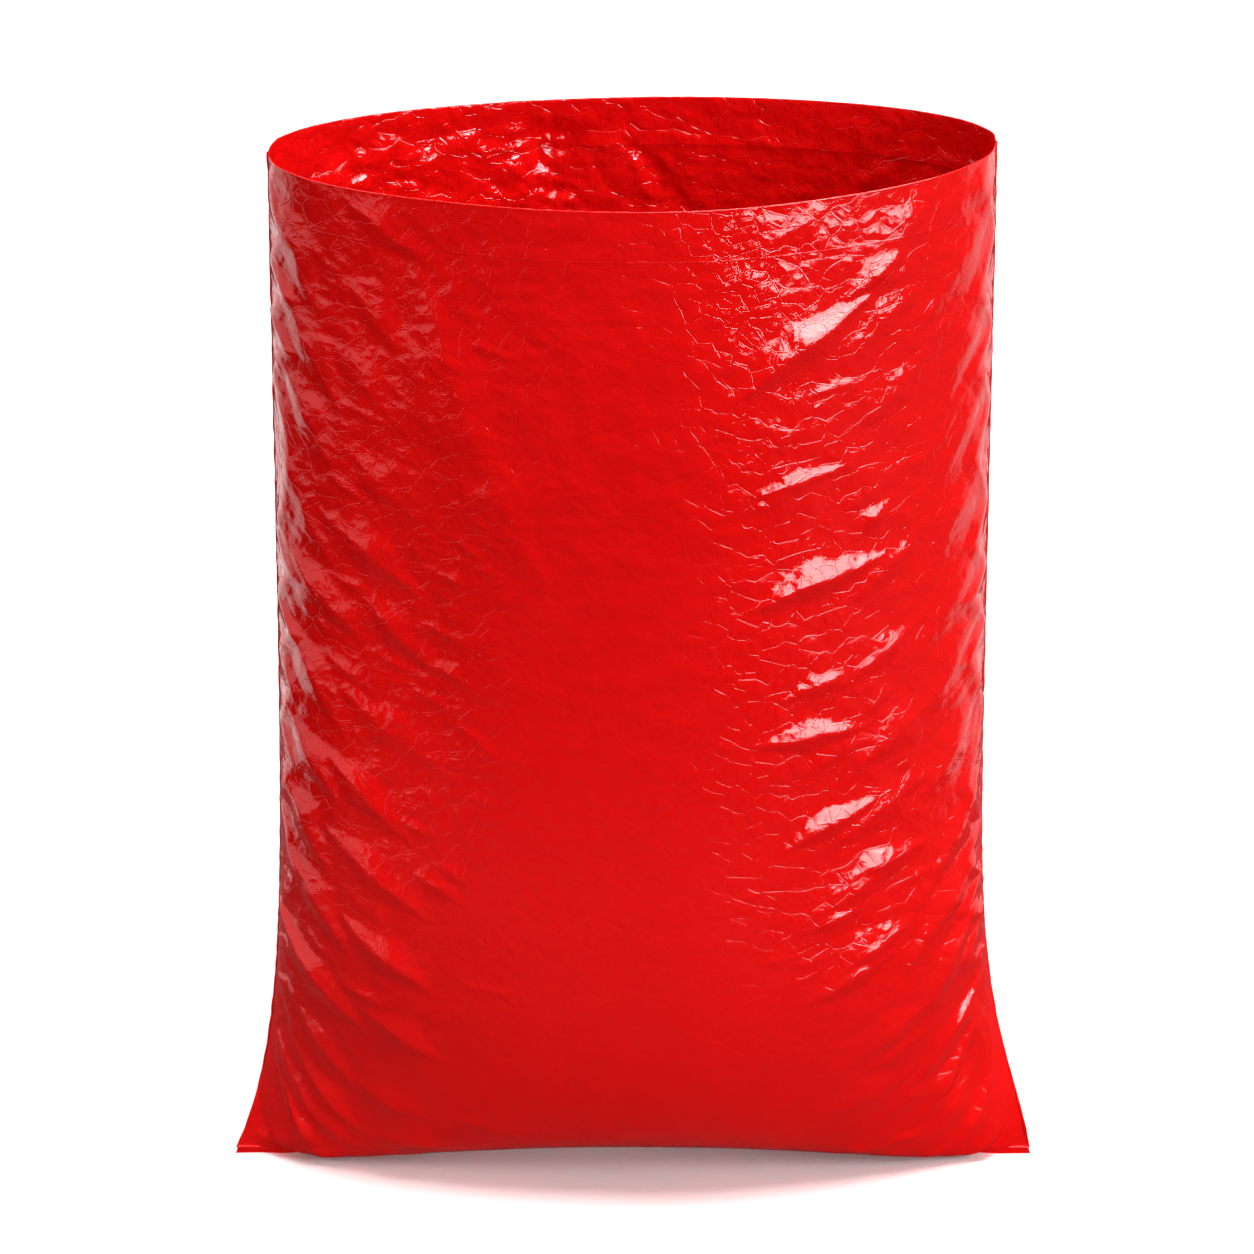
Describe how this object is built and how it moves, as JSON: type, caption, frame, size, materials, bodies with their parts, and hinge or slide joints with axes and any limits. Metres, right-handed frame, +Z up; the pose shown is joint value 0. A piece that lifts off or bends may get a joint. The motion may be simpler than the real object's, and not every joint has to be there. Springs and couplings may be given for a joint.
{
  "type": "gift bag",
  "caption": "Open-topped glossy film gift bag that stands by itself, with welded sides and bottom, flared bottom corners and a turned-in hem round its oval mouth",
  "frame": {"origin": "on the resting surface, under the middle of the bag", "axes": "+Z up to the mouth, +X along the mouth's long way from the left side weld to the right one, -Y out of the front wall"},
  "size_m": [0.2506, 0.0898, 0.342],
  "materials": {
    "film": "gloss",
    "hem_film": "gloss",
    "weld": "gloss"
  },
  "bodies": {
    "root": {"front_panel": "film", "back_panel": "film", "front_hem": "hem_film", "back_hem": "hem_film", "front_hem_weld": "weld", "back_hem_weld": "weld", "left_side_weld": "weld", "right_side_weld": "weld", "bottom_weld": "weld"}
  },
  "joints": []
}
